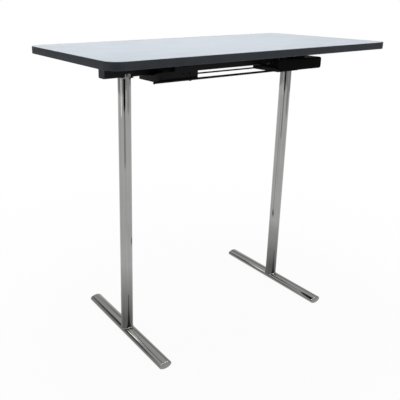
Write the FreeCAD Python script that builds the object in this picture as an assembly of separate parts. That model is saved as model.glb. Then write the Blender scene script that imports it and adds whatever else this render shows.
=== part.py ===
import FreeCAD, Part
import math
import os

# A drafting table: a tilting board on a chromed two-column stand with a black crossbeam.
# X runs along the board, Y from the user's side (-Y) to the back, Z up.
# The origin is on the floor, midway between the two columns.  Millimetres.

# ---- overall sizes
top_height = 1092.0             # floor to drawing surface
top_length = 1220.0
top_depth = 610.0
corner_radius = 48.0

# ---- board
board_thickness = 25.0
laminate_thickness = 0.8
backer_thickness = 0.6
moulding_face = 2.5             # visible wall of the T-shaped edge moulding
moulding_round = 1.0
tongue_thickness = 1.8
tongue_depth = 8.0
groove_clearance = 0.2

# ---- columns and feet
leg_spacing = 780.0
column_diameter = 46.0
column_wall = 2.0
foot_length = 534.0
foot_width = 52.0
foot_height = 28.0
foot_wall = 1.8
cap_thickness = 5.0
cap_round = 3.0
cap_plug_length = 14.0
cap_plug_wall = 2.0
cap_clearance = 0.2
glide_height = 2.0
glide_diameter = 18.0
glide_stem_diameter = 9.0
glide_stem_length = 5.0
glide_inset = 32.0              # from the end of the foot

# ---- crossbeam, its plugs and the saddles that join it to the columns
beam_height = 50.0
beam_depth = 40.0
beam_wall = 2.0
beam_corner = 4.0
beam_overhang = 85.0            # beyond each column's centre
beam_gap = 16.5                 # beam top to the underside of the board
plug_flange = 3.0
plug_length = 18.0
plug_wall = 2.5
plug_clearance = 0.2
plug_round = 1.2
saddle_plate = 3.0
saddle_tab = 12.0
saddle_tab_width = 22.0
saddle_tab_round = 5.0
spigot_length = 22.0
spigot_wall = 3.0
spigot_clearance = 0.2
bolt_diameter = 6.0
bolt_head = 10.0                # across flats
bolt_head_height = 4.0
bolt_reach = 8.0                # past the inside of the beam wall
hole_clearance = 0.4

# ---- tilting hinge
tilt_max = 75.0                 # degrees, front edge of the board down
pivot_drop = 27.0               # below the underside of the board
pin_diameter = 10.0
pin_head_diameter = 15.0
pin_head_height = 3.0
pin_tail = 4.0
clip_diameter = 16.0
clip_thickness = 1.2
clip_groove = 1.0
bush_wall = 2.0
bush_flange_wall = 1.5
bush_flange_width = 2.5
running_clearance = 0.05
bracket_plate = 3.0
ear_thickness = 4.0
ear_half_width = 8.5
ear_tongue = 26.0               # brake ear, below the pin
bracket_front = 20.0            # in front of the pin
bracket_rear = 96.0             # behind the pin
bracket_margin = 4.0            # plate beyond the ears
ear_rear_spread = 22.0
screw_diameter = 4.5
screw_length = 18.0
screw_head_diameter = 9.0
screw_head_height = 2.6
screw_edge = 10.0

# ---- friction brake
quadrant_radius = 38.0
quadrant_thickness = 8.0
quadrant_hub = 11.0
quadrant_margin = 1.5           # degrees past the lining at either end of the tilt
shoe_from = 66.0                # degrees from straight down towards the back
shoe_to = 90.0
shoe_gap = 0.3                  # released clearance, lining to quadrant
shoe_thickness = 4.7
shoe_width = 10.0
carrier_thickness = 3.0
finger_depth = 6.0
finger_clearance = 11.0         # finger to beam
rivet_diameter = 4.0
rivet_head = 7.0
rivet_head_height = 1.5
rivet_spots = (13.5, 20.5)      # below the pin

# ---- release bar and its shaft
shaft_diameter = 6.0
shaft_drop = 12.5               # below the beam
shaft_tail = 7.0
bar_diameter = 8.0
bar_lead = 17.5                 # in front of the pivot
bar_drop = 0.8                  # below the shaft
bar_left_reach = 21.0           # past the outer end of the left housing
bar_tip_radius = 9.0
bar_tip_turn = 30.0             # degrees
bar_tip_length = 2.0
arm_thickness = 4.0
arm_hub_radius = 6.0
arm_eye_radius = 6.0
arm_right_gap = 3.0             # outside the right housing
shaft_bush_wall = 1.5
shaft_bush_flange = 1.4
shaft_bush_lip = 1.3
spring_wire = 1.6
spring_pitch = 2.3
spring_turns = 8.25             # the quarter turn points the last leg upwards
spring_gap = 0.5                # coil to shaft
spring_leg = 14.0
spring_tip_gap = 0.3            # upper leg to beam

# ---- housings under the beam, measured from the column centres
sheet = 2.5
housing_rear = 20.0             # behind the beam
left_outer = 82.0
left_step = 145.0
left_inner = 243.0
left_front = 12.0               # in front of the pivot
left_drop = 18.5                # below the beam
left_top = 17.0                 # low front wall, above the beam's underside
left_wall_top = 30.5            # front wall between the cheeks
left_edge_round = 6.0
slot_width = 8.0
slot_top = 28.0
small_slot_offset = 28.0        # from the release arm
small_slot_width = 4.0
small_slot_from = 13.5
right_inner = 150.0
right_step = 40.0
right_joint = 46.0
right_end_gap = 13.0            # past the beam's end
right_front = 17.0
right_drop = 21.5
right_top = 23.5
right_end_round = 9.0
right_front_round = 5.0
slope_lead = 27.0               # where the falling lids level out, in front of the beam
slope_rise = 0.5                # inside of the lids above the beam's underside
lug_radius = 12.0
left_arm_inset = 37.0           # release arm from the left housing's inner end
right_arm_inset = 26.0          # brake arm from the right housing's inner end
far_ear_inset = 9.0             # second ear from its cheek
cover_screw_diameter = 4.0
cover_screw_head = 8.0
cover_screw_head_height = 2.0
cover_screw_length = 8.0
cover_lap = 14.0
cover_screw_height = 12.0

# ---- rubber rests on the beam
bumper_diameter = 26.0
bumper_gap = 0.3
bumper_stem_diameter = 8.0
bumper_stem_length = 6.0

# ---- worked out from the sizes above
leg_x = leg_spacing / 2
beam_end = leg_x + beam_overhang
underside = top_height - board_thickness
beam_half = beam_depth / 2
beam_top = underside - beam_gap
beam_bottom = beam_top - beam_height
saddle_bottom = beam_bottom - saddle_plate
column_radius = column_diameter / 2
foot_centre = glide_height + foot_height / 2
pivot_z = underside - pivot_drop
pivot_y = -(beam_half + finger_clearance + finger_depth + shoe_thickness + shoe_gap + quadrant_radius)
shoe_back = -(beam_half + finger_clearance + finger_depth)
finger_back = shoe_back + finger_depth
shaft_z = beam_bottom - shaft_drop
bar_y = pivot_y - bar_lead
bar_z = shaft_z - bar_drop
housing_back = beam_half + housing_rear
slope_y = -beam_half - slope_lead
slope_z = beam_bottom + sheet + slope_rise
pin_radius = pin_diameter / 2
shaft_radius = shaft_diameter / 2
eye_bore = pin_radius + running_clearance + bush_wall

left_end_x = -leg_x + left_outer
left_cheeks = (-leg_x + left_step, -leg_x + left_inner - sheet)
left_inner_x = -leg_x + left_inner
left_y = pivot_y - left_front
left_z = beam_bottom - left_drop
left_arm_x = left_inner_x - left_arm_inset

right_inner_x = leg_x - right_inner
right_cheeks = (right_inner_x, leg_x - right_step)
right_joint_x = leg_x + right_joint
right_end_x = beam_end + right_end_gap
right_y = pivot_y - right_front
right_z = beam_bottom - right_drop
right_top_z = beam_bottom + right_top
right_arm_x = right_inner_x + right_arm_inset


# ---- small building blocks
def box(x0, x1, y0, y1, z0, z1):
    return Part.makeBox(x1 - x0, y1 - y0, z1 - z0, FreeCAD.Vector(x0, y0, z0))


def rod(radius, x0, x1, y, z):
    return Part.makeCylinder(radius, x1 - x0, FreeCAD.Vector(x0, y, z), FreeCAD.Vector(1, 0, 0))


def post(radius, x, y, z0, z1):
    return Part.makeCylinder(radius, z1 - z0, FreeCAD.Vector(x, y, z0))


def peg(radius, x, z, y0, y1):
    return Part.makeCylinder(radius, y1 - y0, FreeCAD.Vector(x, y0, z), FreeCAD.Vector(0, 1, 0))


def plate_yz(points, x0, x1):
    corners = [FreeCAD.Vector(x0, y, z) for y, z in points]
    outline = Part.makePolygon(corners + corners[:1])
    return Part.Face(outline).extrude(FreeCAD.Vector(x1 - x0, 0, 0))


def rounded_slab(length, depth, radius, z0, z1):
    slab = box(-length / 2, length / 2, -depth / 2, depth / 2, z0, z1)
    upright = [edge for edge in slab.Edges if edge.BoundBox.ZLength > (z1 - z0) / 2]
    return slab.makeFillet(radius, upright)


def beam_block(inset, x0, x1):
    return box(x0, x1, inset - beam_half, beam_half - inset, beam_bottom + inset, beam_top - inset)


def long_bar(inset, radius, x0, x1):
    # a bar inside the beam's outline, with rounded long edges
    bar = beam_block(inset, x0, x1)
    along = [edge for edge in bar.Edges if edge.BoundBox.XLength > (x1 - x0) / 2]
    return bar.makeFillet(radius, along)


def link(x0, x1, start, start_radius, end, end_radius):
    # a flat link with round ends, lying across X
    dy = end[0] - start[0]
    dz = end[1] - start[1]
    span = math.hypot(dy, dz)
    ny = -dz / span
    nz = dy / span
    web = plate_yz([(start[0] + ny * start_radius, start[1] + nz * start_radius),
                    (end[0] + ny * end_radius, end[1] + nz * end_radius),
                    (end[0] - ny * end_radius, end[1] - nz * end_radius),
                    (start[0] - ny * start_radius, start[1] - nz * start_radius)], x0, x1)
    hub = rod(start_radius, x0, x1, start[0], start[1])
    eye = rod(end_radius, x0, x1, end[0], end[1])
    return web.fuse([hub, eye]).removeSplitter()


def brake_point(radius, degrees):
    # a point about the hinge, the angle running from straight down towards the back
    turn = math.radians(degrees)
    return pivot_y + radius * math.sin(turn), pivot_z - radius * math.cos(turn)


# ---- feet and columns
def foot_bar(x, inset, y0, y1):
    centre = FreeCAD.Vector(x, y0, foot_centre)
    side = FreeCAD.Vector(x + foot_width / 2 - inset, y0, foot_centre)
    crown = FreeCAD.Vector(x, y0, foot_centre + foot_height / 2 - inset)
    outline = Part.Wire([Part.Ellipse(side, crown, centre).toShape()])
    return Part.Face(outline).extrude(FreeCAD.Vector(0, y1 - y0, 0))


tube_end = foot_length / 2 - cap_thickness
glide_y = foot_length / 2 - glide_inset


def foot(x):
    tube = foot_bar(x, 0, -tube_end, tube_end).cut(foot_bar(x, foot_wall, -tube_end - 1, tube_end + 1))
    for y in (-glide_y, glide_y):
        tube = tube.cut(post(glide_stem_diameter / 2, x, y, 0, foot_centre))
    return tube


def foot_cap(x, side):
    # a domed cap with a hollow plug that goes into the tube
    face = foot_bar(x, 0, tube_end, foot_length / 2)
    rim = [edge for edge in face.Edges if edge.BoundBox.YMin > foot_length / 2 - cap_thickness / 2]
    face = face.makeFillet(cap_round, rim)
    fit = foot_wall + cap_clearance
    plug = foot_bar(x, fit, tube_end - cap_plug_length, tube_end)
    plug = plug.cut(foot_bar(x, fit + cap_plug_wall, tube_end - cap_plug_length - 1, tube_end))
    cap = face.fuse(plug)
    if side < 0:
        cap.rotate(FreeCAD.Vector(x, 0, 0), FreeCAD.Vector(0, 0, 1), 180)
    return cap


def foot_glide(x, y):
    above = foot_bar(x, 0, y - glide_diameter, y + glide_diameter)
    pad = post(glide_diameter / 2, x, y, 0, foot_centre).cut(above)
    stem = post(glide_stem_diameter / 2, x, y, 0, glide_height + foot_wall + glide_stem_length)
    return pad.fuse(stem)


def column(x):
    tube = post(column_radius, x, 0, foot_centre, saddle_bottom)
    tube = tube.cut(post(column_radius - column_wall, x, 0, foot_centre - 1, saddle_bottom + 1))
    return tube.cut(foot_bar(x, 0, -column_diameter, column_diameter))


# ---- saddles, beam and plugs
bolt_z = beam_bottom + saddle_tab / 2
bolt_hole = (bolt_diameter + hole_clearance) / 2
saddle_half = beam_half + saddle_plate


def saddle(x):
    body = box(x - column_radius, x + column_radius, -saddle_half, saddle_half, saddle_bottom, beam_bottom)
    for y0 in (-saddle_half, beam_half):
        tab = box(x - saddle_tab_width / 2, x + saddle_tab_width / 2, y0, y0 + saddle_plate,
                  beam_bottom, beam_bottom + saddle_tab)
        corners = [edge for edge in tab.Edges
                   if edge.BoundBox.YLength > saddle_plate / 2 and edge.BoundBox.ZMin > bolt_z]
        body = body.fuse(tab.makeFillet(saddle_tab_round, corners))
    outside = column_radius - column_wall - spigot_clearance
    spigot = post(outside, x, 0, saddle_bottom - spigot_length, saddle_bottom)
    spigot = spigot.cut(post(outside - spigot_wall, x, 0, saddle_bottom - spigot_length - 1, saddle_bottom))
    body = body.fuse(spigot).removeSplitter()
    return body.cut(peg(bolt_hole, x, bolt_z, -saddle_half - 1, saddle_half + 1))


def saddle_bolt(x, side):
    corner = bolt_head / math.sqrt(3)
    flats = [FreeCAD.Vector(x + corner * math.cos(math.radians(60 * k)), -saddle_half - bolt_head_height,
                            bolt_z + corner * math.sin(math.radians(60 * k))) for k in range(6)]
    head = Part.Face(Part.makePolygon(flats + flats[:1])).extrude(FreeCAD.Vector(0, bolt_head_height, 0))
    shank = peg(bolt_diameter / 2, x, bolt_z, -saddle_half, -beam_half + beam_wall + bolt_reach)
    bolt = head.fuse(shank)
    if side > 0:
        bolt.rotate(FreeCAD.Vector(x, 0, 0), FreeCAD.Vector(0, 0, 1), 180)
    return bolt


def crossbeam():
    tube = long_bar(0, beam_corner, -beam_end, beam_end)
    tube = tube.cut(long_bar(beam_wall, beam_corner - beam_wall, -beam_end - 1, beam_end + 1))
    for x in (-leg_x, leg_x):
        tube = tube.cut(peg(bolt_hole, x, bolt_z, -beam_half - 1, beam_half + 1))
        tube = tube.cut(post(bumper_stem_diameter / 2, x, 0, beam_top - 2 * beam_wall, beam_top + 1))
    return tube


def beam_plug(side):
    flange = long_bar(0, beam_corner, beam_end, beam_end + plug_flange)
    rim = [edge for edge in flange.Edges if edge.BoundBox.XMin > beam_end + plug_flange / 2]
    flange = flange.makeFillet(plug_round, rim)
    fit = beam_wall + plug_clearance
    insert = long_bar(fit, beam_corner - beam_wall, beam_end - plug_length, beam_end)
    core = beam_block(fit + plug_wall, beam_end - plug_length - 1, beam_end)
    plug = flange.fuse(insert.cut(core))
    if side < 0:
        plug.rotate(FreeCAD.Vector(0, 0, 0), FreeCAD.Vector(0, 0, 1), 180)
    return plug


def rest_bumper(x):
    pad = post(bumper_diameter / 2, x, 0, beam_top, underside - bumper_gap)
    top = [edge for edge in pad.Edges if edge.BoundBox.ZMin > underside - beam_gap / 2]
    pad = pad.makeFillet(moulding_face, top)
    return pad.fuse(post(bumper_stem_diameter / 2, x, 0, beam_top - beam_wall - bumper_stem_length, beam_top))


# ---- housings
def beam_notch(x0, x1):
    return box(x0, x1, -beam_half, beam_half, beam_bottom, beam_top + beam_height)


def trough(x0, x1, y0, z0, top, inset):
    # an upright front and a lid that falls to the beam's lower edge
    return plate_yz([(y0 + inset, z0), (y0 + inset, top - inset), (slope_y, slope_z - inset),
                     (housing_back - inset, slope_z - inset), (housing_back - inset, z0)], x0, x1)


def round_uprights(block, radius):
    # rounds the front and back upright edges at the block's -X end
    x0 = block.BoundBox.XMin
    uprights = [edge for edge in block.Edges
                if edge.BoundBox.XMax < x0 + 1 and edge.BoundBox.YLength < 0.01 and edge.Length > sheet]
    return block.makeFillet(radius, uprights)


def cheek(x, y0, z0, top):
    # a side plate that carries the hinge pin above and the release shaft below
    plate = trough(x, x + sheet, y0, z0, top, 0)
    lug = box(x, x + sheet, pivot_y - lug_radius, pivot_y + lug_radius, z0, pivot_z)
    return plate.fuse([lug, rod(lug_radius, x, x + sheet, pivot_y, pivot_z)])


def cheek_bores(cheeks):
    bore = shaft_radius + running_clearance + shaft_bush_wall
    pins = [rod(pin_radius, x - 1, x + sheet + 1, pivot_y, pivot_z) for x in cheeks]
    return pins + [rod(bore, x - 1, x + sheet + 1, 0, shaft_z) for x in cheeks]


def housing_left():
    top = beam_bottom + left_top
    outer = round_uprights(trough(left_end_x, left_inner_x, left_y, left_z, top, 0), left_edge_round)
    inner = trough(left_end_x + sheet, left_inner_x - sheet, left_y, left_z - 1, top, sheet)
    shell = outer.cut(round_uprights(inner, left_edge_round - sheet))
    # between the cheeks the lid is left off and the front wall stands higher
    shell = shell.cut(box(left_cheeks[0] + sheet, left_cheeks[1], left_y + sheet, -beam_half,
                          left_z, top + 1))
    raised = box(left_cheeks[0], left_inner_x, left_y, left_y + sheet, left_z, beam_bottom + left_wall_top)
    shell = shell.fuse([raised] + [cheek(x, left_y, left_z, top) for x in left_cheeks])
    shell = shell.cut(beam_notch(left_end_x - 1, left_inner_x + 1))
    arm_slot = box(left_arm_x - slot_width / 2, left_arm_x + slot_width / 2, left_y - 1, left_y + sheet + 1,
                   left_z - 1, left_z + slot_top)
    small_x = left_arm_x - small_slot_offset
    small_slot = box(small_x - small_slot_width / 2, small_x + small_slot_width / 2, left_y - 1,
                     left_y + sheet + 1, left_z + small_slot_from, left_z + slot_top)
    return shell.cut([arm_slot, small_slot] + cheek_bores(left_cheeks)).removeSplitter()


def right_block(inset):
    # the long cover's block, its outer end and front edge rounded
    end = right_end_x - inset
    block = box(right_inner_x + inset, end, right_y + inset, housing_back - inset,
                right_z + inset, right_top_z - inset)
    outer_end = [edge for edge in block.Edges
                 if edge.BoundBox.YLength > sheet and edge.BoundBox.XMin > end - 1]
    block = block.makeFillet(right_end_round - inset, outer_end)
    front_edge = [edge for edge in block.Edges
                  if edge.BoundBox.XLength > (right_end_x - right_inner_x) / 2
                  and edge.BoundBox.YMax < right_y + inset + 1
                  and edge.BoundBox.ZMin > right_top_z - inset - 1]
    return block.makeFillet(right_front_round - inset, front_edge)


def right_shell():
    shell = right_block(0).cut(right_block(sheet))
    shell = shell.cut(beam_notch(right_inner_x - 1, beam_end + plug_flange))
    # open underneath along the part that takes in the column's head
    return shell.cut(box(right_inner_x + sheet, right_joint_x, right_y + sheet, housing_back - sheet,
                         right_z - 1, right_z + sheet + 1))


def cover_screw_places():
    x = right_joint_x + cover_lap / 2
    z = right_z + cover_screw_height
    return [(x, z, right_y, 1), (x, z, housing_back, -1)]


def cover_screw_bores():
    reach = cover_screw_length
    return [peg(cover_screw_diameter / 2, x, z, min(y, y + inward * reach), max(y, y + inward * reach))
            for x, z, y, inward in cover_screw_places()]


def housing_right():
    shell = right_shell()
    shell = shell.common(box(right_inner_x - 1, right_joint_x, right_y - 1, housing_back + 1,
                             right_z - 1, right_top_z + 1))
    # the lid starts beyond the second cheek; before it the walls fall towards the beam
    shell = shell.cut(box(right_inner_x - 1, right_cheeks[1], right_y + sheet, housing_back + 1,
                          slope_z, right_top_z + 1))
    shell = shell.cut(box(right_inner_x - 1, right_cheeks[1], right_y - 1, housing_back + 1,
                          right_top_z - right_front_round, right_top_z + 1))
    front_wall = box(right_inner_x, right_cheeks[1] + sheet, right_y, right_y + sheet, right_z, right_top_z)
    shell = shell.fuse([front_wall] + [cheek(x, right_y, right_z, right_top_z) for x in right_cheeks])
    shell = shell.cut(beam_notch(right_inner_x - 1, right_joint_x + 1))
    # two tongues that the end cover laps over
    lap_x = (right_joint_x - cover_lap, right_joint_x + cover_lap)
    height = (right_z + right_front_round, right_z + cover_screw_height + cover_lap / 2)
    front = box(lap_x[0], lap_x[1], right_y + sheet, right_y + 2 * sheet, height[0], height[1])
    back = box(lap_x[0], lap_x[1], housing_back - 2 * sheet, housing_back - sheet, height[0], height[1])
    shell = shell.fuse([front, back]).cut(cheek_bores(right_cheeks) + cover_screw_bores())
    return shell.removeSplitter()


def housing_right_cover():
    shell = right_shell()
    shell = shell.common(box(right_joint_x, right_end_x + 1, right_y - 1, housing_back + 1,
                             right_z - 1, right_top_z + 1))
    return shell.cut(cover_screw_bores()).removeSplitter()


def cover_screw(x, z, y, inward):
    outer = y - inward * cover_screw_head_height
    tip = y + inward * cover_screw_length
    head = peg(cover_screw_head / 2, x, z, min(y, outer), max(y, outer))
    return head.fuse(peg(cover_screw_diameter / 2, x, z, min(y, tip), max(y, tip)))


# ---- hinge pins, clips and bushes
def pin(cheeks, head_side):
    x0 = cheeks[0]
    x1 = cheeks[1] + sheet
    if head_side > 0:
        body = rod(pin_radius, x0 - pin_tail, x1, pivot_y, pivot_z)
        head = rod(pin_head_diameter / 2, x1, x1 + pin_head_height, pivot_y, pivot_z)
        groove_x = x0 - clip_thickness
    else:
        body = rod(pin_radius, x0, x1 + pin_tail, pivot_y, pivot_z)
        head = rod(pin_head_diameter / 2, x0 - pin_head_height, x0, pivot_y, pivot_z)
        groove_x = x1
    groove = rod(pin_radius + 1, groove_x, groove_x + clip_thickness, pivot_y, pivot_z)
    groove = groove.cut(rod(pin_radius - clip_groove, groove_x, groove_x + clip_thickness, pivot_y, pivot_z))
    return body.fuse(head).cut(groove)


def clip(cheeks, head_side):
    x = cheeks[0] - clip_thickness if head_side > 0 else cheeks[1] + sheet
    ring = rod(clip_diameter / 2, x, x + clip_thickness, pivot_y, pivot_z)
    ring = ring.cut(rod(pin_radius - clip_groove, x - 1, x + clip_thickness + 1, pivot_y, pivot_z))
    mouth = pin_radius - clip_groove
    return ring.cut(box(x - 1, x + clip_thickness + 1, pivot_y - mouth, pivot_y + mouth,
                        pivot_z - clip_diameter, pivot_z))


def ear_places(cheeks, arm_x):
    # the brake ear stands beside the quadrant, the plain ear near the far cheek
    half = quadrant_thickness / 2
    brake_ear = arm_x + half
    return (brake_ear, cheeks[0] + sheet + far_ear_inset) if arm_x < 0 else (
        brake_ear, cheeks[1] - far_ear_inset - ear_thickness)


def pivot_bush(x):
    bore = pin_radius + running_clearance
    body = rod(bore + bush_wall, x, x + ear_thickness, pivot_y, pivot_z)
    lip = rod(bore + bush_wall + bush_flange_width, x + ear_thickness, x + ear_thickness + bush_flange_wall,
              pivot_y, pivot_z)
    return body.fuse(lip).cut(rod(bore, x - 1, x + ear_thickness + bush_flange_wall + 1, pivot_y, pivot_z))


def shaft_bush(x):
    bore = shaft_radius + running_clearance
    body = rod(bore + shaft_bush_wall, x, x + sheet, 0, shaft_z)
    lip = rod(bore + shaft_bush_wall + shaft_bush_lip, x - shaft_bush_flange, x, 0, shaft_z)
    return body.fuse(lip).cut(rod(bore, x - shaft_bush_flange - 1, x + sheet + 1, 0, shaft_z))


# ---- board
def board_slab(inset, z0, z1):
    return rounded_slab(top_length - 2 * inset, top_depth - 2 * inset, corner_radius - inset, z0, z1)


board_middle = underside + board_thickness / 2


def board_core():
    core = board_slab(moulding_face, underside + backer_thickness, top_height - laminate_thickness)
    groove_half = tongue_thickness / 2 + groove_clearance
    groove = board_slab(moulding_face - 1, board_middle - groove_half, board_middle + groove_half)
    inside = moulding_face + tongue_depth + groove_clearance
    groove = groove.cut(board_slab(inside, board_middle - groove_half, board_middle + groove_half))
    core = core.cut(groove)
    return core.cut([post(screw_diameter / 2, x, y, underside - 1, screw_tip) for x, y in all_screws])


def edge_moulding():
    face = board_slab(0, underside, top_height)
    rims = [edge for edge in face.Edges if edge.BoundBox.ZLength < 0.01]
    face = face.makeFillet(moulding_round, rims).cut(board_slab(moulding_face, underside - 1, top_height + 1))
    half = tongue_thickness / 2
    tongue = board_slab(moulding_face, board_middle - half, board_middle + half)
    tongue = tongue.cut(board_slab(moulding_face + tongue_depth, board_middle - half, board_middle + half))
    return face.fuse(tongue)


def bottom_backer():
    sheet_face = board_slab(moulding_face, underside, underside + backer_thickness)
    return sheet_face.cut([post(screw_diameter / 2, x, y, underside - 1, screw_tip) for x, y in all_screws])


# ---- tilt brackets
plate_bottom = underside - bracket_plate
screw_tip = plate_bottom + screw_length
bracket_y0 = pivot_y - bracket_front
bracket_y1 = pivot_y + bracket_rear


def bracket_span(cheeks, arm_x):
    ears = ear_places(cheeks, arm_x)
    return min(ears) - bracket_margin, max(ears) + ear_thickness + bracket_margin


def screw_places(cheeks, arm_x):
    x0, x1 = bracket_span(cheeks, arm_x)
    inset = screw_edge
    ear_back = pivot_y + ear_half_width + ear_rear_spread
    return [(x, y) for x in (x0 + inset, x1 - inset) for y in (ear_back + inset, bracket_y1 - inset)]


all_screws = screw_places(left_cheeks, left_arm_x) + screw_places(right_cheeks, right_arm_x)


def tilt_bracket(cheeks, arm_x):
    x0, x1 = bracket_span(cheeks, arm_x)
    body = box(x0, x1, bracket_y0, bracket_y1, plate_bottom, underside)
    ears = ear_places(cheeks, arm_x)
    front = pivot_y - ear_half_width
    back = pivot_y + ear_half_width
    for number, x in enumerate(ears):
        web = plate_yz([(front, plate_bottom), (front, pivot_z), (back, pivot_z),
                        (back + ear_rear_spread, plate_bottom)], x, x + ear_thickness)
        eye = rod(ear_half_width, x, x + ear_thickness, pivot_y, pivot_z)
        body = body.fuse([web, eye])
        if number == 0:
            tongue = box(x, x + ear_thickness, front, back, pivot_z - ear_tongue + ear_half_width, pivot_z)
            end = rod(ear_half_width, x, x + ear_thickness, pivot_y, pivot_z - ear_tongue + ear_half_width)
            body = body.fuse([tongue, end])
        body = body.cut(rod(eye_bore, x - 1, x + ear_thickness + 1, pivot_y, pivot_z))
    for drop in rivet_spots:
        body = body.cut(rod(rivet_diameter / 2, ears[0] - 1, ears[0] + ear_thickness + 1,
                            pivot_y, pivot_z - drop))
    hole = (screw_diameter + hole_clearance) / 2
    for x, y in screw_places(cheeks, arm_x):
        body = body.cut(post(hole, x, y, plate_bottom - 1, underside + 1))
    return body.removeSplitter()


def bracket_screw(x, y):
    head = post(screw_head_diameter / 2, x, y, plate_bottom - screw_head_height, plate_bottom)
    lower = [edge for edge in head.Edges if edge.BoundBox.ZMax < plate_bottom - screw_head_height / 2]
    head = head.makeFillet(screw_head_height / 2, lower)
    return head.fuse(post(screw_diameter / 2, x, y, plate_bottom, screw_tip))


# ---- friction brake
def brake_quadrant(arm_x):
    x0 = arm_x - quadrant_thickness / 2
    x1 = arm_x + quadrant_thickness / 2
    first = shoe_from - tilt_max - quadrant_margin
    last = shoe_to + quadrant_margin
    middle = (first + last) / 2
    points = [FreeCAD.Vector(x0, *brake_point(quadrant_radius, angle)) for angle in (first, middle, last)]
    centre = FreeCAD.Vector(x0, pivot_y, pivot_z)
    rim = Part.Arc(points[0], points[1], points[2]).toShape()
    outline = Part.Wire([Part.makeLine(centre, points[0]), rim, Part.makeLine(points[2], centre)])
    sector = Part.Face(outline).extrude(FreeCAD.Vector(quadrant_thickness, 0, 0))
    sector = sector.fuse(rod(quadrant_hub, x0, x1, pivot_y, pivot_z)).removeSplitter()
    sector = sector.cut(rod(pin_radius + 1, x0 - 1, x1 + 1, pivot_y, pivot_z))
    for drop in rivet_spots:
        sector = sector.cut(rod(rivet_diameter / 2, x0 - 1, x1 + 1, pivot_y, pivot_z - drop))
    return sector


def quadrant_rivet(arm_x, drop):
    x0 = arm_x - quadrant_thickness / 2
    x1 = arm_x + quadrant_thickness / 2 + ear_thickness
    z = pivot_z - drop
    shank = rod(rivet_diameter / 2, x0, x1, pivot_y, z)
    heads = [rod(rivet_head / 2, x0 - rivet_head_height, x0, pivot_y, z),
             rod(rivet_head / 2, x1, x1 + rivet_head_height, pivot_y, z)]
    return shank.fuse(heads)


shoe_bottom = brake_point(quadrant_radius + shoe_gap, shoe_from)[1]
shoe_top = brake_point(quadrant_radius + shoe_gap, shoe_to)[1]


def brake_shoe(arm_x):
    x0 = arm_x - shoe_width / 2
    x1 = arm_x + shoe_width / 2
    block = box(x0, x1, pivot_y + quadrant_hub, shoe_back, shoe_bottom, shoe_top)
    return block.cut(rod(quadrant_radius + shoe_gap, x0 - 1, x1 + 1, pivot_y, pivot_z))


def brake_finger(arm_x):
    half = arm_thickness / 2
    finger = box(arm_x - half, arm_x + half, shoe_back, finger_back, shaft_z, shoe_top)
    carrier = box(arm_x - shoe_width / 2, arm_x + shoe_width / 2, shoe_back, shoe_back + carrier_thickness,
                  shoe_bottom, shoe_top)
    return [finger, carrier]


# ---- release bar, arms, shaft and spring
def arm_bores(body, x0, x1):
    return body.cut([rod(shaft_radius, x0 - 1, x1 + 1, 0, shaft_z),
                     rod(bar_diameter / 2, x0 - 1, x1 + 1, bar_y, bar_z)])


def release_arm_left():
    x0 = left_arm_x - arm_thickness / 2
    x1 = left_arm_x + arm_thickness / 2
    arm = link(x0, x1, (0, shaft_z), arm_hub_radius, (bar_y, bar_z), arm_eye_radius)
    arm = arm.fuse(brake_finger(left_arm_x)).removeSplitter()
    spring_z = shaft_z - shaft_radius - spring_gap - spring_wire / 2
    arm = arm.cut(rod(spring_wire / 2, x0 - 1, x1 + 1, -spring_leg, spring_z))
    return arm_bores(arm, x0, x1)


arm_right_x0 = right_inner_x - arm_right_gap - arm_thickness


def release_arm_right():
    x1 = arm_right_x0 + arm_thickness
    arm = link(arm_right_x0, x1, (0, shaft_z), arm_hub_radius, (bar_y, bar_z), arm_eye_radius)
    return arm_bores(arm, arm_right_x0, x1)


def brake_arm_right():
    x0 = right_arm_x - arm_thickness / 2
    x1 = right_arm_x + arm_thickness / 2
    foot_y = (shoe_back + finger_back) / 2
    arm = link(x0, x1, (0, shaft_z), arm_hub_radius, (foot_y, shaft_z), arm_eye_radius)
    return arm_bores(arm.fuse(brake_finger(right_arm_x)).removeSplitter(), x0, x1)


def release_bar():
    radius = bar_diameter / 2
    start = FreeCAD.Vector(arm_right_x0 + arm_thickness, bar_y, bar_z)
    bend = FreeCAD.Vector(left_end_x - bar_left_reach, bar_y, bar_z)
    turn = math.radians(bar_tip_turn)
    half = turn / 2

    def on_bend(angle):
        return FreeCAD.Vector(bend.x - bar_tip_radius * math.sin(angle), bar_y,
                              bar_z - bar_tip_radius * (1 - math.cos(angle)))

    tip_start = on_bend(turn)
    tip = tip_start + FreeCAD.Vector(-math.cos(turn), 0, -math.sin(turn)) * bar_tip_length
    path = Part.Wire([Part.makeLine(start, bend), Part.Arc(bend, on_bend(half), tip_start).toShape(),
                      Part.makeLine(tip_start, tip)])
    profile = Part.Wire([Part.makeCircle(radius, start, FreeCAD.Vector(1, 0, 0))])
    return path.makePipeShell([profile], True, False)


def release_shaft():
    return rod(shaft_radius, left_cheeks[0] - shaft_tail, right_cheeks[1] + sheet + shaft_tail, 0, shaft_z)


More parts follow.
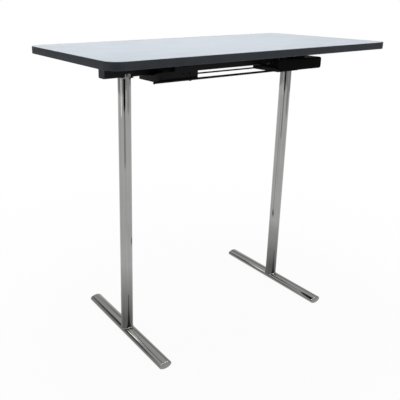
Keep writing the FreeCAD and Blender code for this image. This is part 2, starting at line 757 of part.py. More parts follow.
def return_spring():
    # a torsion spring on the shaft: one leg pinned to the release arm, the other bearing under the beam
    wire = spring_wire / 2
    mean = shaft_radius + spring_gap + wire
    length = spring_pitch * spring_turns
    start_x = left_arm_x + arm_thickness / 2 + spring_wire
    helix = Part.makeHelix(spring_pitch, length, mean)
    profile = Part.Wire([Part.makeCircle(wire, FreeCAD.Vector(mean, 0, 0), FreeCAD.Vector(0, 1, 0))])
    coil = Part.Wire(helix).makePipeShell([profile], True, True)
    coil.rotate(FreeCAD.Vector(0, 0, 0), FreeCAD.Vector(0, 1, 0), 90)
    coil.translate(FreeCAD.Vector(start_x, 0, shaft_z))
    arm_leg = Part.makeCylinder(wire, spring_leg, FreeCAD.Vector(start_x, 0, shaft_z - mean),
                                FreeCAD.Vector(0, -1, 0))
    hook = rod(wire, left_arm_x - arm_thickness / 2, start_x, -spring_leg, shaft_z - mean)
    knuckle = Part.makeSphere(wire, FreeCAD.Vector(start_x, -spring_leg, shaft_z - mean))
    beam_leg = post(wire, start_x + length, mean, shaft_z, beam_bottom - spring_tip_gap)
    return coil.fuse([arm_leg, knuckle, hook, beam_leg])


# ---- all pieces, one node each
nodes = {"crossbeam": crossbeam(),
         "housing_left": housing_left(),
         "housing_right": housing_right(),
         "housing_right_cover": housing_right_cover(),
         "board_core": board_core(),
         "top_laminate": board_slab(moulding_face, top_height - laminate_thickness, top_height),
         "bottom_backer": bottom_backer(),
         "edge_moulding": edge_moulding(),
         "release_bar": release_bar(),
         "release_shaft": release_shaft(),
         "release_arm_left": release_arm_left(),
         "release_arm_right": release_arm_right(),
         "brake_arm_right": brake_arm_right(),
         "return_spring": return_spring()}

nodes["cover_screws"] = Part.makeCompound([cover_screw(*place) for place in cover_screw_places()])
nodes["bracket_screws"] = Part.makeCompound([bracket_screw(x, y) for x, y in all_screws])
nodes["saddle_bolts"] = Part.makeCompound([saddle_bolt(x, side) for x in (-leg_x, leg_x) for side in (-1, 1)])
nodes["shaft_bushes"] = Part.makeCompound([shaft_bush(x) for x in left_cheeks + right_cheeks])
nodes["pin_clips"] = Part.makeCompound([clip(left_cheeks, 1), clip(right_cheeks, -1)])

for name, x in (("left", -leg_x), ("right", leg_x)):
    nodes["column_" + name] = column(x)
    nodes["foot_" + name] = foot(x)
    nodes["column_saddle_" + name] = saddle(x)
    nodes["rest_bumper_" + name] = rest_bumper(x)
    nodes["beam_plug_" + name] = beam_plug(math.copysign(1, x))
    for end, side in (("front", -1), ("rear", 1)):
        nodes["foot_cap_%s_%s" % (name, end)] = foot_cap(x, side)
        nodes["foot_glide_%s_%s" % (name, end)] = foot_glide(x, side * glide_y)

for name, cheeks, arm_x, head_side in (("left", left_cheeks, left_arm_x, 1),
                                       ("right", right_cheeks, right_arm_x, -1)):
    nodes["pivot_pin_" + name] = pin(cheeks, head_side)
    nodes["tilt_bracket_" + name] = tilt_bracket(cheeks, arm_x)
    nodes["brake_quadrant_" + name] = brake_quadrant(arm_x)
    nodes["brake_shoe_" + name] = brake_shoe(arm_x)
    rivets = [quadrant_rivet(arm_x, drop) for drop in rivet_spots]
    nodes["quadrant_rivets_" + name] = Part.makeCompound(rivets)
    nodes["pivot_bushes_" + name] = Part.makeCompound([pivot_bush(x) for x in ear_places(cheeks, arm_x)])

os.makedirs("parts", exist_ok=True)
for name, shape in nodes.items():
    shape.exportStep("parts/%s.step" % name)
    sizes = shape.BoundBox
    print("%-26s solids %d  valid %s  volume %10.0f  x %8.1f %8.1f  y %7.1f %7.1f  z %7.1f %7.1f" % (
        name, len(shape.Solids), shape.isValid(), shape.Volume, sizes.XMin, sizes.XMax,
        sizes.YMin, sizes.YMax, sizes.ZMin, sizes.ZMax))
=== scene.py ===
"""Looks of a tilting drafting table: a laminate board in a vinyl edge, carried by a black steel
beam with its tilt brake, on two chromed columns welded to flat oval feet.

Everything is in metres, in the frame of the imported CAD. Shapes whose finish needs more than the CAD
holds are rebuilt here from the CAD's own boxes; the other CAD nodes stay and get their material."""

import math

import bmesh
import bpy
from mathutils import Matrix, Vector

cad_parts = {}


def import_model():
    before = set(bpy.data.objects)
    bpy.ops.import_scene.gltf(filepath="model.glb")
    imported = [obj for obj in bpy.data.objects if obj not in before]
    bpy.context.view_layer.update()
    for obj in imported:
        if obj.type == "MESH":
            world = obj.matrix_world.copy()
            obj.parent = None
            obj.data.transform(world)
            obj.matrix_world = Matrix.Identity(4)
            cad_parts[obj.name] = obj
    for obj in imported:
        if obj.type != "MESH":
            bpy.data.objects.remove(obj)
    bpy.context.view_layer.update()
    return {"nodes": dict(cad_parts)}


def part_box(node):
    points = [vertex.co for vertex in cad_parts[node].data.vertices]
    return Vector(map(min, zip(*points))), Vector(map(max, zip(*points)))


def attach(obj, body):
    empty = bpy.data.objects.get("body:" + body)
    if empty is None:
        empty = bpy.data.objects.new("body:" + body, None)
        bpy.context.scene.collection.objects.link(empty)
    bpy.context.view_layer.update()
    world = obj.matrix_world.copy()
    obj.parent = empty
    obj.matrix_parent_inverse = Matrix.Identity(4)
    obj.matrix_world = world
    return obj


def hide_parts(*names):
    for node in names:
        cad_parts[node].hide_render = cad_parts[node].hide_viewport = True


MM = 0.001
QUARTER_TURN = math.radians(90)

# The board and its edge.
CORNER_RADIUS = 48 * MM
MOULDING = 2.5 * MM
LIP = 2.6 * MM
LIP_ROUND = 1.1 * MM
LIP_GROOVE = 0.3 * MM
FACE_CROWN = 0.25 * MM
LAMINATE_EASE = 0.25 * MM
CORNER_STEPS = 28
LIP_STEPS = 5
FACE_STEPS = 8

# The stand.
TUBE_STEPS = 128
TUBE_EDGE = 0.9 * MM
TUBE_EDGE_STEPS = 4
CAP_GROOVE = 0.35 * MM
CAP_STEPS = 14
CAP_TURN = math.radians(86)
CAP_SQUARENESS = 2.3
WELD_RADIUS = 1.9 * MM
WELD_RIPPLES = 72
WELD_RIPPLE = 0.16 * MM
WELD_SWELLS = 5
STEPS_PER_RIPPLE = 6
WELD_ROUND_STEPS = 12

# The bends and broken edges of the steel parts.
SHEET_EDGE = 0.45 * MM
SMALL_EDGE = 0.25 * MM
SHARP_ANGLE = math.radians(32)
FLAT_ANGLE = math.radians(0.6)
JOIN_DISTANCE = 0.002 * MM

# Black enamel where it is thin, where it is thick and where it is rubbed.
ENAMEL_THIN = (0.0082, 0.0086, 0.0090)
ENAMEL_THICK = (0.0050, 0.0053, 0.0058)
ENAMEL_RUBBED = (0.02, 0.02, 0.02)

# Chrome: two tones of the clean plating, its streaks, its dull specks and the darker tones near the floor,
# which are painted shade standing in for the darker things that the low chrome reflects.
CHROME_TONES = ((0.325, 0.330, 0.322), (0.36, 0.362, 0.352))
CHROME_STREAK = (0.2, 0.2, 0.192)
CHROME_SPECK = (0.2, 0.19, 0.17)
CHROME_LOW_SHADE_TUBE = (0.245, 0.245, 0.24)
CHROME_LOW_SHADE_COLUMN = (0.085, 0.085, 0.082)
CHROME_LOW_SHADE_FROM = 0.34
CHROME_LOW_SHADE_TO = 0.12

# The camera.
CAMERA_PLACE = (-1.3014, -1.5521, 1.2641)
CAMERA_PITCH = 17.05
CAMERA_YAW = 32.66
CAMERA_ROLL = 0.03
CAMERA_LENS = 47.8
CAMERA_SHIFT = (0.1375, -0.105)

# The floor reads white to the camera, and less so near the table, where it keeps a shadow.
FLOOR_SIZE = 14.0
FLOOR_DROP = 0.5 * MM
FLOOR_COLOUR = (0.86, 0.86, 0.86, 1)
FLOOR_WHITE = 0.95
SHADOW_REACH = (0.6, 1.7)

# The sky's level where it lights the set.
AMBIENT = 0.34

# Soft lamps: name, place, the spot that they face, width, height and watts.
LAMPS = (
    ("key", (-3.2, -0.4, 1.9), (0, 0, 0.8), 2.2, 2.2, 10),
    ("top", (0.2, 0.5, 3.4), (0, 0, 1.0), 3.2, 2.6, 58.5),
    ("fill", (-1.0, -3.4, 1.5), (0, 0, 0.7), 2.0, 2.0, 7),
)

# The round wall, which shows only in glossy reflections, and its levels from the floor (0) to its top (1).
WALL_RADIUS = 5.6
WALL_HEIGHT = 4.2
WALL_STEPS = 96
WALL_SHADES = ((0.0, 0.55), (0.12, 0.4), (0.2, 0.3), (0.3, 0.62), (0.6, 0.8), (1.0, 0.95))

# Upright cards, which show only in glossy reflections: name, azimuth in degrees (0 in front, 90 to the
# right), distance, width, bottom, top and strength.
CARDS = (
    ("camera_side", -40, 2.35, 1.35, 0.44, 2.2, 0.01),
    ("camera_legs", -41, 2.36, 1.0, 0.0, 0.44, 0.5),
    ("window_left", -90, 3.4, 0.45, 0.2, 2.6, 2.9),
    ("flag_rear", -147, 3.2, 2.8, 1.6, 3.1, 0.16),
    ("window_rear", -163.5, 3.25, 0.8, 3.1, 3.9, 4.5),
    ("bounce_rear", 132, 3.8, 4.0, 0.0, 1.4, 0.85),
    ("shade_rear", 130, 3.8, 4.0, 1.4, 2.6, 0.5),
    *(("lamp_front", azimuth, 2.7, 2.4, 2.6, 3.6, 12.0) for azimuth in (-50, -2, 46)),
    ("wall_right", 35, 3.8, 3.4, 0.0, 2.2, 0.62),
)

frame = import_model()


# ---------------------------------------------------------------- node materials

class Nodes:
    """A node tree, with a short call for each kind of node that the finishes and the stage share."""

    def __init__(self, tree):
        self.tree = tree

    def node(self, kind, links=(), **settings):
        """Adds a node. Each link names an input and gives it a value or another node's socket."""
        made = self.tree.nodes.new(kind)
        for key, value in settings.items():
            setattr(made, key, value)
        for socket, source in dict(links).items():
            self.set(made.inputs[socket], source)
        return made

    def set(self, socket, source):
        if isinstance(source, bpy.types.NodeSocket):
            self.tree.links.new(source, socket)
        else:
            socket.default_value = source

    def coordinates(self):
        return self.node("ShaderNodeTexCoord").outputs["Object"]

    def height(self, coordinates):
        return self.node("ShaderNodeSeparateXYZ", {"Vector": coordinates}).outputs["Z"]

    def product(self, first, second):
        return self.node("ShaderNodeMath", {0: first, 1: second}, operation="MULTIPLY").outputs[0]

    def ramp(self, value, *stops):
        """A colour ramp. Each stop is a position with a colour or a grey level."""
        made = self.node("ShaderNodeValToRGB", {"Fac": value})
        elements = made.color_ramp.elements
        while len(elements) < len(stops):
            elements.new(0.5)
        for element, (position, colour) in zip(elements, stops):
            element.position = position
            element.color = (*colour, 1) if isinstance(colour, tuple) else (colour, colour, colour, 1)
        return made.outputs["Color"]

    def scaled(self, value, low, high, start=0.0, end=1.0):
        """Takes a value from start to end over to low to high."""
        links = {"Value": value, "From Min": start, "From Max": end, "To Min": low, "To Max": high}
        return self.node("ShaderNodeMapRange", links).outputs["Result"]

    def seen_directly(self):
        """1 for camera, glossy and transmission rays, 0 for the rays that light the object."""
        path = self.node("ShaderNodeLightPath")
        total = path.outputs["Is Camera Ray"]
        for ray in ("Is Glossy Ray", "Is Transmission Ray"):
            links = {0: total, 1: path.outputs[ray]}
            total = self.node("ShaderNodeMath", links, operation="MAXIMUM").outputs[0]
        return total


class Shader(Nodes):
    """A new material with a Principled shader, and short calls for the textures that feed it."""

    def __init__(self, name, **sockets):
        self.material = bpy.data.materials.new(name)
        self.material.use_nodes = True
        super().__init__(self.material.node_tree)
        self.surface = self.tree.nodes["Principled BSDF"]
        self.here = self.coordinates()
        for socket, value in sockets.items():
            self.surface.inputs[socket.replace("_", " ")].default_value = value

    def noise(self, scale, detail=3.0, rough=0.55, stretch=None):
        here = self.here
        if stretch:
            here = self.node("ShaderNodeMapping", {"Vector": here, "Scale": stretch}).outputs["Vector"]
        links = {"Vector": here, "Scale": scale, "Detail": detail, "Roughness": rough}
        return self.node("ShaderNodeTexNoise", links).outputs["Fac"]

    def cells(self, scale):
        return self.node("ShaderNodeTexVoronoi", {"Vector": self.here, "Scale": scale})

    def grains(self, scale):
        """A random level for each cell."""
        colour = self.cells(scale).outputs["Color"]
        return self.node("ShaderNodeSeparateColor", {"Color": colour}).outputs["Red"]

    def bands(self, scale, axis, distortion):
        links = {"Vector": self.here, "Scale": scale, "Distortion": distortion, "Detail": 2.0}
        return self.node("ShaderNodeTexWave", links, bands_direction=axis).outputs["Fac"]

    def sum(self, first, second, share):
        """The first value plus a share of the second."""
        part = self.product(second, share)
        return self.node("ShaderNodeMath", {0: first, 1: part}, operation="ADD").outputs[0]

    def blend(self, share, first, second):
        """The first colour, going over to the second where the share is 1."""
        made = self.node("ShaderNodeMix", {"Factor": share}, data_type="RGBA")
        colours = [socket for socket in made.inputs if socket.type == "RGBA"]
        for socket, colour in zip(colours, (first, second)):
            self.set(socket, (*colour, 1) if isinstance(colour, tuple) else colour)
        return [socket for socket in made.outputs if socket.type == "RGBA"][0]

    def bump(self, height, distance, strength=1.0, under=None):
        links = {"Height": height, "Distance": distance, "Strength": strength}
        if under:
            links["Normal"] = under
        return self.node("ShaderNodeBump", links).outputs["Normal"]

    def feed(self, **sockets):
        """Links sources to the surface's inputs and gives the finished material."""
        for socket, source in sockets.items():
            self.tree.links.new(source, self.surface.inputs[socket.replace("_", " ")])
        return self.material


def chrome(name, low):
    """Bright plating with polishing lines, a haze of handling, a few dull specks and a low end darkened by
    painted shade.
    """
    s = Shader(name, Metallic=1.0)
    uneven_height = s.sum(s.height(s.here), s.noise(6, 3), 0.08)
    # Painted shade: towards the floor the plating goes over to the darker low colour, standing in for the
    # darker floor and feet that the low chrome reflects.
    painted_low_shade = s.scaled(uneven_height, 0.0, 1.0, CHROME_LOW_SHADE_FROM, CHROME_LOW_SHADE_TO)
    haze = s.noise(9, 4)
    lines = s.noise(60, 3, 0.6, stretch=(14, 14, 1))
    specks = s.ramp(s.cells(260).outputs["Distance"], (0.0, 1.0), (0.11, 0.0))
    patches = s.ramp(s.noise(22, 3), (0.5, 0.0), (0.72, 1.0))
    dull = s.product(specks, patches)
    clean = s.ramp(haze, (0.35, CHROME_TONES[0]), (0.7, CHROME_TONES[1]))
    clean = s.blend(painted_low_shade, clean, low)
    streaks = s.ramp(s.noise(150, 3, 0.6, stretch=(1, 1, 0.015)), (0.42, 0.0), (0.62, 0.26))
    clean = s.blend(streaks, clean, CHROME_STREAK)
    rough = s.sum(s.sum(s.scaled(haze, 0.02, 0.07), lines, 0.02), dull, 0.3)
    normal = s.bump(lines, 0.00001, 0.5)
    normal = s.bump(s.noise(14, 2), 0.0004, 0.12, normal)
    return s.feed(Base_Color=s.blend(dull, clean, CHROME_SPECK), Roughness=rough, Normal=normal)


def black_enamel(name, tone_scale, gloss):
    """Black stoving enamel on folded sheet, with a slight orange peel and grey rubbed spots."""
    s = Shader(name, Specular_IOR_Level=gloss)
    thick, thin, worn = (tuple(tone_scale * level for level in colour)
                         for colour in (ENAMEL_THICK, ENAMEL_THIN, ENAMEL_RUBBED))
    rubbed = s.ramp(s.noise(70, 5, 0.65), (0.62, 0.0), (0.8, 1.0))
    coat = s.ramp(s.noise(14, 3), (0.3, thick), (0.75, thin))
    normal = s.bump(s.noise(900, 2), 0.00006, 0.5)
    rough = s.sum(s.scaled(s.noise(35, 3), 0.36, 0.52), rubbed, 0.12)
    return s.feed(Base_Color=s.blend(rubbed, coat, worn), Roughness=rough, Normal=normal)


def plated_steel():
    """Dull zinc plating: cloudy grains with a faint yellow cast."""
    s = Shader("plated_steel", Metallic=1.0)
    cloud = s.ramp(s.noise(120, 4), (0.3, (0.15, 0.15, 0.14)), (0.75, (0.24, 0.24, 0.23)))
    rough = s.scaled(s.grains(900), 0.24, 0.42)
    return s.feed(Base_Color=cloud, Roughness=rough, Normal=s.bump(s.noise(1500, 2), 0.00003, 0.4))


def laminate():
    """Pale blue-white melamine with a suede grain, faint mottling and light rubbed tracks."""
    s = Shader("laminate", Specular_IOR_Level=0.35)
    mottle = s.ramp(s.noise(7, 5, 0.6), (0.3, (0.585, 0.645, 0.715)), (0.72, (0.635, 0.69, 0.755)))
    tracks = s.ramp(s.noise(3.5, 6, 0.7, stretch=(1, 9, 1)), (0.62, 0.0), (0.78, 1.0))
    freckles = s.ramp(s.cells(420).outputs["Distance"], (0.0, 0.35), (0.16, 0.0))
    worn = s.blend(s.scaled(tracks, 0.0, 0.22), mottle, (0.70, 0.73, 0.76))
    grain = s.noise(1400, 2, 0.6)
    rough = s.sum(s.scaled(s.noise(11, 4), 0.36, 0.46), tracks, -0.08)
    normal = s.bump(grain, 0.00004, 0.45)
    return s.feed(Base_Color=s.blend(freckles, worn, (0.50, 0.56, 0.63)), Roughness=rough, Normal=normal)


def vinyl_edge():
    """Charcoal extruded vinyl: fine drawn lines along the strip and a satin skin."""
    s = Shader("vinyl_edge", Specular_IOR_Level=0.2)
    drawn = s.bands(900, "Z", 0.4)
    bloom = s.ramp(s.noise(18, 4, 0.6), (0.35, (0.023, 0.028, 0.035)), (0.75, (0.033, 0.039, 0.048)))
    scuffs = s.ramp(s.noise(55, 6, 0.75, stretch=(1, 1, 5)), (0.66, 0.0), (0.8, 1.0))
    normal = s.bump(s.noise(2200, 2), 0.00003, 0.5, s.bump(drawn, 0.00002, 0.25))
    rough = s.sum(s.scaled(s.noise(25, 3), 0.42, 0.56), scuffs, 0.15)
    return s.feed(Base_Color=s.blend(scuffs, bloom, (0.075, 0.076, 0.08)), Roughness=rough, Normal=normal)


def particleboard():
    """Pressed wood chips."""
    s = Shader("particleboard", Roughness=0.85)
    dark, brown, pale = (0.30, 0.18, 0.09), (0.48, 0.33, 0.18), (0.62, 0.47, 0.29)
    wood = s.ramp(s.grains(420), (0.0, dark), (0.5, brown), (1.0, pale))
    return s.feed(Base_Color=wood, Normal=s.bump(s.noise(700, 4), 0.0003, 0.6))


def backer():
    """Dark brown backing sheet with short fibres."""
    s = Shader("backer", Specular_IOR_Level=0.3)
    fibres = s.noise(160, 5, 0.7, stretch=(1, 6, 1))
    paper = s.ramp(fibres, (0.3, (0.034, 0.026, 0.021)), (0.7, (0.054, 0.043, 0.035)))
    stains = s.ramp(s.noise(5, 4), (0.5, 0.0), (0.8, 0.35))
    rough = s.scaled(s.noise(40, 3), 0.5, 0.68)
    normal = s.bump(fibres, 0.00008, 0.4)
    return s.feed(Base_Color=s.blend(stains, paper, (0.028, 0.022, 0.018)), Roughness=rough, Normal=normal)


def nylon():
    """Natural nylon, slightly translucent, with a faint moulding cloud."""
    s = Shader("nylon", Subsurface_Weight=0.25, Subsurface_Scale=0.002)
    cloud = s.ramp(s.noise(180, 3), (0.3, (0.62, 0.59, 0.50)), (0.7, (0.74, 0.71, 0.63)))
    return s.feed(Base_Color=cloud, Roughness=s.scaled(s.noise(300, 2), 0.34, 0.5),
                  Normal=s.bump(s.noise(1200, 2), 0.00003, 0.4))


def plug_plastic():
    """Dark moulded polythene with a pebbled face."""
    s = Shader("plug_plastic", Specular_IOR_Level=0.3)
    tone = s.ramp(s.noise(60, 3), (0.3, (0.023, 0.013, 0.021)), (0.7, (0.033, 0.020, 0.031)))
    pebbles = s.cells(1500).outputs["Distance"]
    return s.feed(Base_Color=tone, Roughness=s.scaled(s.noise(90, 2), 0.45, 0.6),
                  Normal=s.bump(pebbles, 0.00006, 0.5))


def rubber():
    """Black rubber with a chalky bloom."""
    s = Shader("rubber", Specular_IOR_Level=0.2)
    bloom = s.ramp(s.noise(150, 4), (0.35, (0.012, 0.012, 0.012)), (0.8, (0.034, 0.034, 0.033)))
    return s.feed(Base_Color=bloom, Roughness=s.scaled(s.noise(220, 3), 0.7, 0.9),
                  Normal=s.bump(s.noise(1600, 3), 0.00006, 0.5))


def brake_lining():
    """Woven friction lining: brown binder with brass flecks."""
    s = Shader("brake_lining", Roughness=0.8)
    flecks = s.ramp(s.cells(1300).outputs["Distance"], (0.0, 1.0), (0.2, 0.0))
    binder = s.ramp(s.noise(260, 4), (0.3, (0.060, 0.040, 0.026)), (0.7, (0.12, 0.085, 0.055)))
    weave = s.bands(1100, "DIAGONAL", 0.8)
    return s.feed(Base_Color=s.blend(flecks, binder, (0.42, 0.30, 0.12)), Normal=s.bump(weave, 0.00012, 0.6))


MAKERS = (plated_steel, laminate, vinyl_edge, particleboard, backer, nylon, plug_plastic, rubber, brake_lining)
FINISHES = {make.__name__: make() for make in MAKERS}
FINISHES["black_steel"] = black_enamel("black_steel", 1.0, 0.12)
# The right-hand housing, its cover and the cover's screws get a darker, less glossy copy of the black enamel:
# painted shade for the shade on that side of the stand.
FINISHES["shaded_black_steel"] = black_enamel("shaded_black_steel", 0.35, 0.03)
FINISHES["chrome_tube"] = chrome("chrome_tube", CHROME_LOW_SHADE_TUBE)
# The columns get their own copy of the chrome, whose low end is much darker: painted shade.
FINISHES["chrome_column_low_shade"] = chrome("chrome_column_low_shade", CHROME_LOW_SHADE_COLUMN)


def finish_of(node):
    """The finish that a CAD node's own material slot names."""
    return frame["nodes"][node].data.materials[0].name.split(".")[0]


# ---------------------------------------------------------------- building meshes

def placed(name, data):
    """A new object in the scene."""
    thing = bpy.data.objects.new(name, data)
    bpy.context.scene.collection.objects.link(thing)
    return thing


def mesh_of(name, verts, faces, material):
    mesh = bpy.data.meshes.new(name)
    mesh.from_pydata([tuple(v) for v in verts], [], faces)
    mesh.validate()
    mesh.materials.append(material)
    return mesh


def new_piece(name, verts, faces, finish, body, *replaced):
    """A mesh piece in its finish, riding on a body, shown instead of the CAD nodes that it stands for."""
    mesh = mesh_of(name, verts, faces, FINISHES[finish])
    mesh.set_sharp_from_angle(angle=SHARP_ANGLE)
    piece = placed(name, mesh)
    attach(piece, body)
    if replaced:
        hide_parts(*replaced)
    return piece


def turns(count):
    """Equal steps once round, in radians."""
    return [math.tau * i / count for i in range(count)]


def quarter(steps):
    """Equal steps from 0 to a quarter turn, in radians."""
    return [QUARTER_TURN * step / steps for step in range(steps + 1)]


def loft(rings, ends=True, closed=False):
    """Skins rings of equal length into one surface, with flat ends, or joined last to first."""
    verts = [v for ring in rings for v in ring]
    count = len(rings[0])
    spans = len(rings) if closed else len(rings) - 1
    faces = []
    for k in range(spans):
        low, high = k * count, (k + 1) % len(rings) * count
        for i in range(count):
            j = (i + 1) % count
            faces.append((low + i, low + j, high + j, high + i))
    if ends and not closed:
        faces.append(tuple(reversed(range(count))))
        faces.append(tuple(range((len(rings) - 1) * count, len(rings) * count)))
    return verts, faces


def rounded_outline(inset, z):
    """The board's outline at a height, moved inwards, anticlockwise from above."""
    low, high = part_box("edge_moulding")
    radius = CORNER_RADIUS - inset
    points = []
    for corner, (x, y) in enumerate(((high.x, high.y), (low.x, high.y), (low.x, low.y), (high.x, low.y))):
        centre = (x - math.copysign(CORNER_RADIUS, x), y - math.copysign(CORNER_RADIUS, y))
        for step in range(CORNER_STEPS + 1):
            turn = QUARTER_TURN * (corner + step / CORNER_STEPS)
            points.append((centre[0] + radius * math.cos(turn), centre[1] + radius * math.sin(turn), z))
    return points


def ellipse(centre, across, up, y):
    """An upright ellipse at a place along Y."""
    return [(centre.x + across * math.cos(a), y, centre.z + up * math.sin(a)) for a in turns(TUBE_STEPS)]


# ---------------------------------------------------------------- the board

def moulding_section():
    """The vinyl strip's outer side from its top inner edge to its bottom inner edge, as (inset, height)."""
    low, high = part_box("edge_moulding")
    height = high.z - low.z
    lip = [(MOULDING, 0.0), (LIP_ROUND, 0.0)]
    lip += [(LIP_ROUND * (1 - math.sin(turn)), LIP_ROUND * (1 - math.cos(turn)))
            for turn in quarter(LIP_STEPS)[1:]]
    lip += [(0.0, LIP - LIP_GROOVE), (LIP_GROOVE, LIP), (LIP_GROOVE, LIP + LIP_GROOVE)]
    face = []
    inner = LIP + 2 * LIP_GROOVE
    for step in range(FACE_STEPS + 1):
        share = step / FACE_STEPS
        hollow = (2 * share - 1) ** 2
        face.append((FACE_CROWN * hollow, inner + share * (height - 2 * inner)))
    bottom = [(inset, height - drop) for inset, drop in reversed(lip)]
    return [(inset, high.z - drop) for inset, drop in lip + face + bottom]


def edge_moulding():
    """The vinyl strip, run all round the board."""
    rings = [rounded_outline(inset, z) for inset, z in moulding_section()]
    verts, faces = loft(rings, closed=True)
    return new_piece("vinyl_edge_strip", verts, [tuple(reversed(f)) for f in faces], "vinyl_edge", "board",
                     "edge_moulding")


def drawing_surface():
    """The laminate sheet, its upper edge eased."""
    low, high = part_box("top_laminate")
    rings = [rounded_outline(MOULDING, low.z), rounded_outline(MOULDING, high.z - LAMINATE_EASE),
             rounded_outline(MOULDING + LAMINATE_EASE / 2, high.z - LAMINATE_EASE / 4),
             rounded_outline(MOULDING + LAMINATE_EASE, high.z)]
    verts, faces = loft(rings)
    return new_piece("laminate_sheet", verts, faces, "laminate", "board", "top_laminate")


# ---------------------------------------------------------------- the stand

def foot_tube(side):
    """The oval tube of a foot, its cut ends eased."""
    low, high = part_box("foot_" + side)
    centre = (low + high) / 2
    half = (high - low) / 2

    def eased_end(y, inwards):
        rings = []
        for turn in quarter(TUBE_EDGE_STEPS):
            inset = TUBE_EDGE * (1 - math.sin(turn))
            place = y + inwards * TUBE_EDGE * (1 - math.cos(turn))
            rings.append(ellipse(centre, half.x - inset, half.z - inset, place))
        return rings

    verts, faces = loft(eased_end(low.y, 1) + eased_end(high.y, -1)[::-1])
    return new_piece("oval_foot_" + side, verts, faces, "chrome_tube", "stand", "foot_" + side)


def foot_cap(side, end):
    """A domed plug whose edge stands a little inside the tube, so that a dark line runs round it."""
    tube_low, tube_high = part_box("foot_" + side)
    node = "foot_cap_{}_{}".format(side, end)
    low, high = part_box(node)
    centre = (tube_low + tube_high) / 2
    half = (tube_high - tube_low) / 2
    outwards = -1 if end == "front" else 1
    rim = tube_low.y if end == "front" else tube_high.y
    dome = (rim - low.y) if end == "front" else (high.y - rim)
    rings = [ellipse(centre, half.x - 2 * TUBE_EDGE, half.z - 2 * TUBE_EDGE, rim)]
    for step in range(CAP_STEPS + 1):
        turn = CAP_TURN * step / CAP_STEPS
        shrink = math.cos(turn) ** (2 / CAP_SQUARENESS)
        rise = math.sin(turn) ** (2 / CAP_SQUARENESS)
        flange = CAP_GROOVE + (dome - CAP_GROOVE) * rise
        rings.append(ellipse(centre, (half.x - CAP_GROOVE) * shrink, (half.z - CAP_GROOVE) * shrink,
                             rim + outwards * flange))
    verts, faces = loft(rings)
    if outwards > 0:
        faces = [tuple(reversed(f)) for f in faces]
    return new_piece("domed_cap_{}_{}".format(side, end), verts, faces, "chrome_tube", "stand", node)


def coped_ring(side, steps):
    """Points where the round column's skin meets the oval foot's crown, each with its direction outwards."""
    foot_low, foot_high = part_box("foot_" + side)
    foot_half = (foot_high - foot_low) / 2
    low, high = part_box("column_" + side)
    radius = (high.x - low.x) / 2
    ring = []
    for out in (Vector((math.cos(a), math.sin(a), 0)) for a in turns(steps)):
        rise = foot_half.z * math.sqrt(1 - (radius * out.x / foot_half.x) ** 2)
        level = Vector(((low.x + high.x) / 2, (low.y + high.y) / 2, (foot_low.z + foot_high.z) / 2 + rise))
        ring.append((level + out * radius, out))
    return ring


def column(side):
    """A round tube, coped at its foot to the oval tube's crown."""
    low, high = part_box("column_" + side)
    centre = (low + high) / 2
    radius = (high.x - low.x) / 2
    rings = [[point for point, _ in coped_ring(side, TUBE_STEPS)]]
    for z in (low.z + 2 * radius, high.z):
        rings.append([(centre.x + radius * math.cos(a), centre.y + radius * math.sin(a), z)
                      for a in turns(TUBE_STEPS)])
    verts, faces = loft(rings)
    tube = new_piece("round_column_" + side, verts, faces, "chrome_tube", "stand", "column_" + side)
    # The column wears the chrome copy with the darker painted shade at its low end.
    tube.data.materials[0] = FINISHES["chrome_column_low_shade"]
    return tube


def weld_bead(side):
    """The rippled fillet weld between a column and its foot."""
    rings = []
    steps = WELD_RIPPLES * STEPS_PER_RIPPLE
    for a, (middle, out) in zip(turns(steps), coped_ring(side, steps)):
        swell = WELD_RADIUS + WELD_RIPPLE * (math.sin(WELD_RIPPLES * a) + math.sin(WELD_SWELLS * a + 1))
        rings.append([middle + out * swell * math.cos(b) + Vector((0, 0, swell * math.sin(b)))
                      for b in turns(WELD_ROUND_STEPS)])
    verts, faces = loft(rings, closed=True)
    return new_piece("weld_bead_" + side, verts, faces, "chrome_tube", "stand")


# ---------------------------------------------------------------- steel parts with broken edges

def softened(node, body, width, coat=None):
    """A copy of a CAD node whose sharp edges are broken, as folded and tumbled steel has them."""
    source = frame["nodes"][node]
    mesh = source.data.copy()
    mesh.name = node + "_softened"
    shape = bmesh.new()
    shape.from_mesh(mesh)
    bmesh.ops.remove_doubles(shape, verts=shape.verts, dist=JOIN_DISTANCE)
    bmesh.ops.dissolve_limit(shape, angle_limit=FLAT_ANGLE, verts=shape.verts, edges=shape.edges)
    shape.to_mesh(mesh)
    shape.free()
    if mesh.has_custom_normals:
        mesh.attributes.remove(mesh.attributes["custom_normal"])
    mesh.set_sharp_from_angle(angle=SHARP_ANGLE)
    finish = finish_of(node)
    mesh.materials.clear()
    mesh.materials.append(FINISHES[coat or finish])
    piece = placed(node + "_softened", mesh)
    bevel = piece.modifiers.new("broken_edges", "BEVEL")
    bevel.width = width
    bevel.segments = 2
    bevel.limit_method = "ANGLE"
    bevel.angle_limit = SHARP_ANGLE
    bevel.harden_normals = True
    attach(piece, body)
    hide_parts(node)
    return piece


def build_board():
    edge_moulding()
    drawing_surface()


def build_stand():
    for side in ("left", "right"):
        foot_tube(side)
        column(side)
        weld_bead(side)
        for end in ("front", "rear"):
            foot_cap(side, end)


def build_steelwork():
    softened("housing_left", "stand", SHEET_EDGE)
    # The right-hand housing, its cover and its screws take the copy of the enamel darkened by painted shade.
    for node in ("housing_right", "housing_right_cover"):
        softened(node, "stand", SHEET_EDGE, "shaded_black_steel")
    softened("cover_screws", "stand", SMALL_EDGE, "shaded_black_steel")
    for side in ("left", "right"):
        softened("tilt_bracket_" + side, "board", SMALL_EDGE)
        softened("release_arm_" + side, "release_bail", SMALL_EDGE)
        softened("brake_quadrant_" + side, "board", SMALL_EDGE)
    softened("brake_arm_right", "release_bail", SMALL_EDGE)


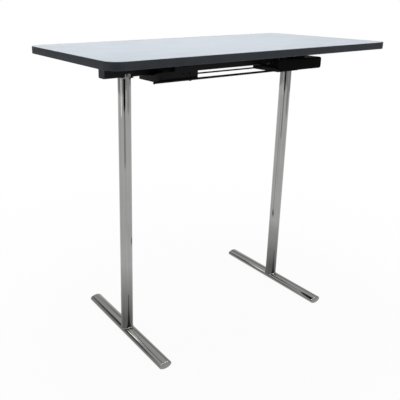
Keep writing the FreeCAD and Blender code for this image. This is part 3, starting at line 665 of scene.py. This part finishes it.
def finish_nodes():
    """Every CAD node gets its procedural finish, whether or not a piece is shown instead of it."""
    for node, thing in frame["nodes"].items():
        thing.data.materials[0] = FINISHES[finish_of(node)]


# ---------------------------------------------------------------- stage

def glow(name, strength):
    """A plain light surface for the backdrop pieces."""
    material = bpy.data.materials.new(name)
    material.use_nodes = True
    material.node_tree.nodes.clear()
    nodes = Nodes(material.node_tree)
    light = nodes.node("ShaderNodeEmission", {"Color": (1, 1, 1, 1), "Strength": strength})
    nodes.node("ShaderNodeOutputMaterial", {"Surface": light.outputs[0]})
    return material


def floor():
    """A pale floor that reads white and still holds a soft shadow."""
    s = Shader("floor", Base_Color=FLOOR_COLOUR, Roughness=1.0, Specular_IOR_Level=0.0)
    white = s.node("ShaderNodeEmission", {"Strength": 1.0})
    reach = s.node("ShaderNodeVectorMath", {0: s.here}, operation="LENGTH").outputs["Value"]
    share = s.product(s.seen_directly(), s.scaled(reach, FLOOR_WHITE, 1.0, *SHADOW_REACH))
    mixed = s.node("ShaderNodeMixShader", {"Fac": share, 1: s.surface.outputs[0], 2: white.outputs[0]})
    s.set(s.tree.nodes["Material Output"].inputs["Surface"], mixed.outputs[0])
    flat_panel("floor", (0, 0, -FLOOR_DROP), FLOOR_SIZE, FLOOR_SIZE, (0, 0, 1), s.material)


def flat_panel(name, centre, width, height, facing, material):
    """A rectangle facing a direction."""
    corners = [(-width / 2, -height / 2, 0), (width / 2, -height / 2, 0),
               (width / 2, height / 2, 0), (-width / 2, height / 2, 0)]
    panel = placed(name, mesh_of(name, corners, [(0, 1, 2, 3)], material))
    panel.location = centre
    panel.rotation_mode = "QUATERNION"
    panel.rotation_quaternion = Vector(facing).to_track_quat("Z", "Y")
    return panel


def only_reflected(thing):
    """Stages a thing that shows in glossy reflections and nowhere else."""
    thing.visible_camera = False
    thing.visible_diffuse = False
    thing.visible_shadow = False
    thing.visible_transmission = False


def reflected_card(name, azimuth, distance, width, bottom, top, strength):
    """An upright card that faces the middle of the set."""
    turn = math.radians(azimuth)
    centre = (distance * math.sin(turn), -distance * math.cos(turn), (bottom + top) / 2)
    facing = (-math.sin(turn), math.cos(turn), 0)
    only_reflected(flat_panel(name, centre, width, top - bottom, facing, glow(name, strength)))


def reflected_wall():
    """A round studio wall whose level changes with height."""
    material = glow("studio_wall", 1.0)
    nodes = Nodes(material.node_tree)
    rise = nodes.scaled(nodes.height(nodes.coordinates()), 0.0, 1.0, 0.0, WALL_HEIGHT)
    nodes.set(nodes.tree.nodes["Emission"].inputs["Strength"], nodes.ramp(rise, *WALL_SHADES))
    rings = [[(WALL_RADIUS * math.cos(a), WALL_RADIUS * math.sin(a), z) for a in turns(WALL_STEPS)]
             for z in (0, WALL_HEIGHT)]
    verts, faces = loft(rings, ends=False)
    only_reflected(placed("studio_wall", mesh_of("studio_wall", verts, faces, material)))


def soft_lamp(name, place, target, width, height, power):
    """A rectangular lamp that lights the set and doesn't show in it."""
    light = bpy.data.lights.new(name, "AREA")
    light.shape = "RECTANGLE"
    light.size = width
    light.size_y = height
    light.energy = power
    lamp = placed(name, light)
    lamp.location = place
    lamp.rotation_mode = "QUATERNION"
    lamp.rotation_quaternion = (Vector(target) - Vector(place)).to_track_quat("-Z", "Y")
    lamp.visible_glossy = False
    lamp.visible_camera = False


def world():
    """A sky that is white where it shows and dim where it only lights."""
    sky = bpy.data.worlds.new("studio")
    bpy.context.scene.world = sky
    sky.use_nodes = True
    nodes = Nodes(sky.node_tree)
    back = nodes.tree.nodes["Background"].inputs
    nodes.set(back["Color"], (1, 1, 1, 1))
    nodes.set(back["Strength"], nodes.scaled(nodes.seen_directly(), AMBIENT, 1.0))


def camera():
    data = bpy.data.cameras.new("camera")
    data.lens = CAMERA_LENS
    data.shift_x, data.shift_y = CAMERA_SHIFT
    eye = placed("camera", data)
    eye.location = CAMERA_PLACE
    eye.rotation_euler = [math.radians(angle) for angle in (90 - CAMERA_PITCH, CAMERA_ROLL, -CAMERA_YAW)]
    bpy.context.scene.camera = eye


def stage():
    floor()
    world()
    for lamp in LAMPS:
        soft_lamp(*lamp)
    reflected_wall()
    for card in CARDS:
        reflected_card(*card)


build_board()
build_stand()
build_steelwork()
finish_nodes()
camera()
stage()
bpy.context.scene.view_settings.view_transform = "Standard"
